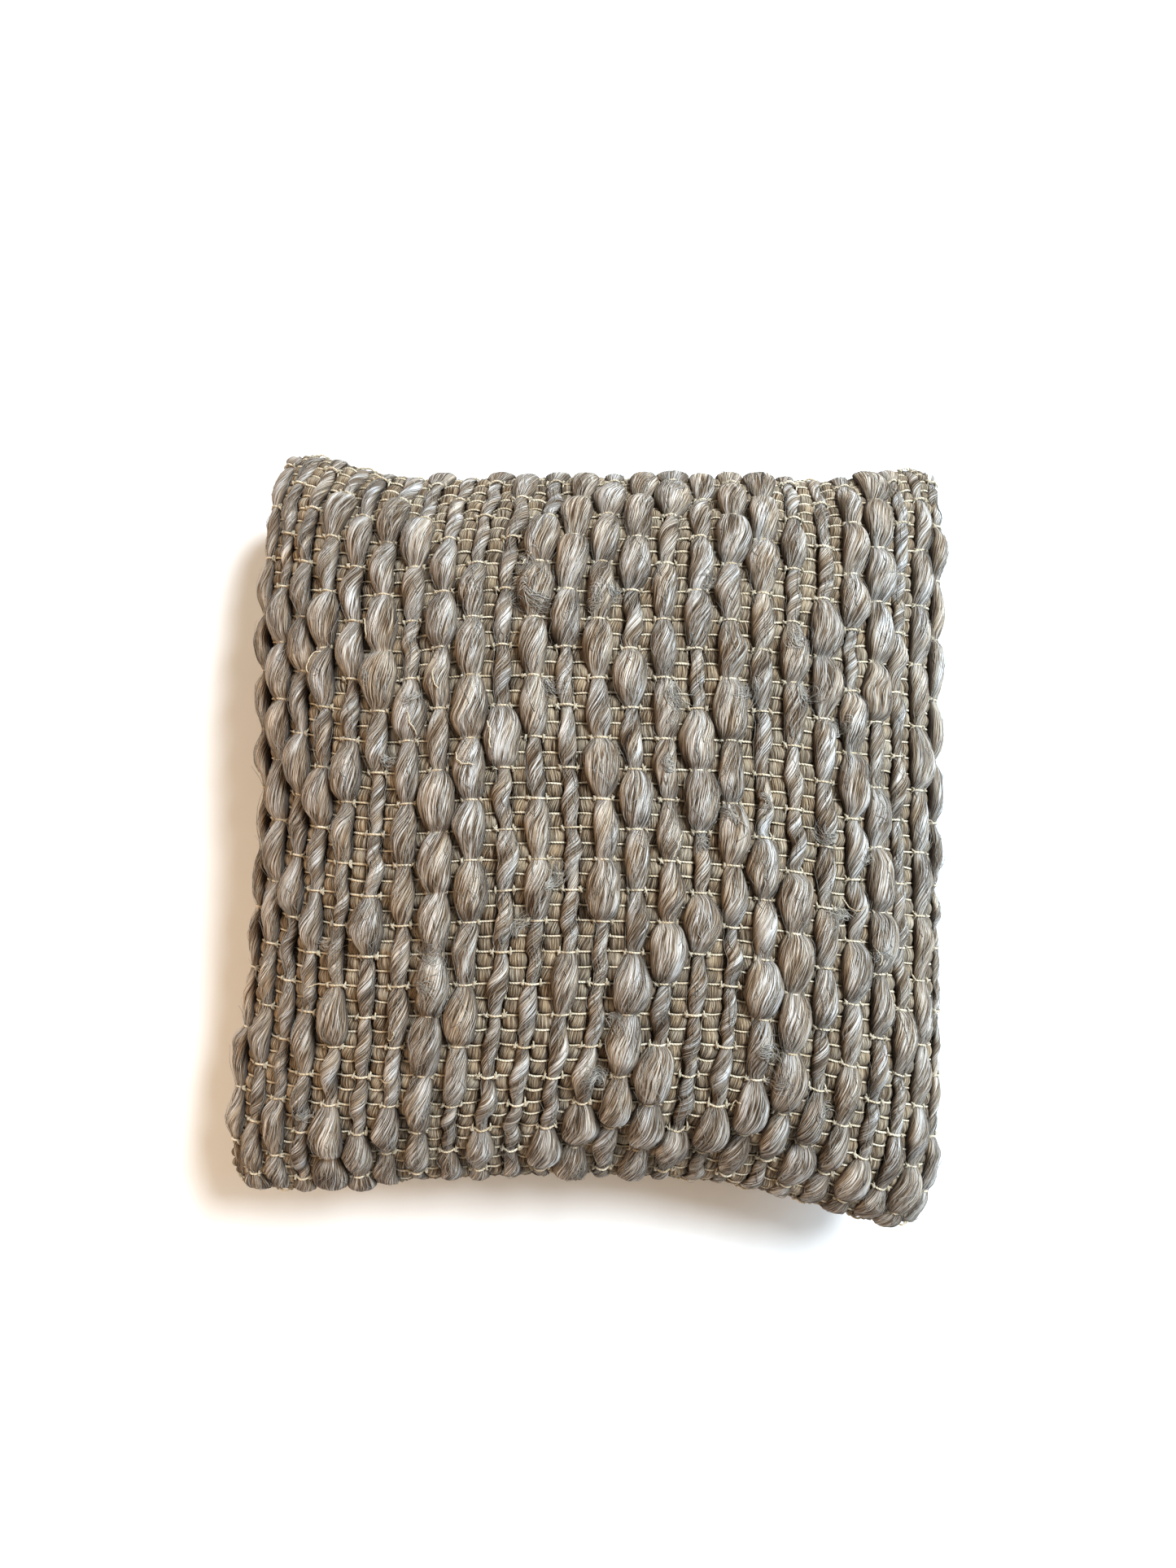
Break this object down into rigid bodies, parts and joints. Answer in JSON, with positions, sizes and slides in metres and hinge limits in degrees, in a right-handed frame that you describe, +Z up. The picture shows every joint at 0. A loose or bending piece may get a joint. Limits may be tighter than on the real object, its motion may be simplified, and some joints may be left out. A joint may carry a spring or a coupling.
{
  "type": "throw pillow",
  "caption": "Square throw pillow with a chunky slub-weave wool cover, a zip let into one seam and a removable filled insert.",
  "frame": {"origin": "centre of the pillow's footprint on the surface it lies on, at the level underside of the back panel", "axes": "+Z up out of the front panel, +Y towards the zipped edge, +X along the zip towards its closed end"},
  "size_m": [0.4692, 0.5086, 0.15],
  "materials": {
    "wool_weave": "heathered cream, taupe and brown wool slub yarns with cream cotton tie threads, matte and fibrous",
    "overlock_thread": "overlocked cut edges in cream thread, matte",
    "cotton_casing": "plain woven off-white cotton, matte",
    "filling": "loose white polyester fibre",
    "zip_tape": "beige herringbone polyester tape",
    "zip_teeth": "moulded beige acetal",
    "zip_metal": "antique brass, softly polished on its edges",
    "label_satin": "blank white satin ribbon"
  },
  "bodies": {
    "pillow": {"front_panel": "wool_weave", "back_panel": "wool_weave", "seam_allowance_west": "overlock_thread", "seam_allowance_east": "overlock_thread", "seam_allowance_south": "overlock_thread", "care_label": "label_satin", "insert_casing_front": "cotton_casing", "insert_casing_back": "cotton_casing", "insert_filling": "filling", "zip_tape_front": "zip_tape", "zip_tape_back": "zip_tape", "zip_teeth_front": "zip_teeth", "zip_teeth_back": "zip_teeth", "zip_top_stop_front": "zip_metal", "zip_top_stop_back": "zip_metal", "zip_bottom_stop": "zip_metal"},
    "slider": {"zip_slider": "zip_metal"},
    "pull_tab": {"zip_pull_tab": "zip_metal"}
  },
  "joints": [
    {"name": "zip_slide", "type": "slide", "parent": "pillow", "child": "slider", "axis": [-1, 0, 0], "range_m": [0, 0.236]},
    {"name": "pull_swing", "type": "hinge", "parent": "slider", "child": "pull_tab", "pos_m": [0.1405, 0.2237, 0.064], "axis": [0, 0, -1], "range_deg": [0, 170]}
  ]
}
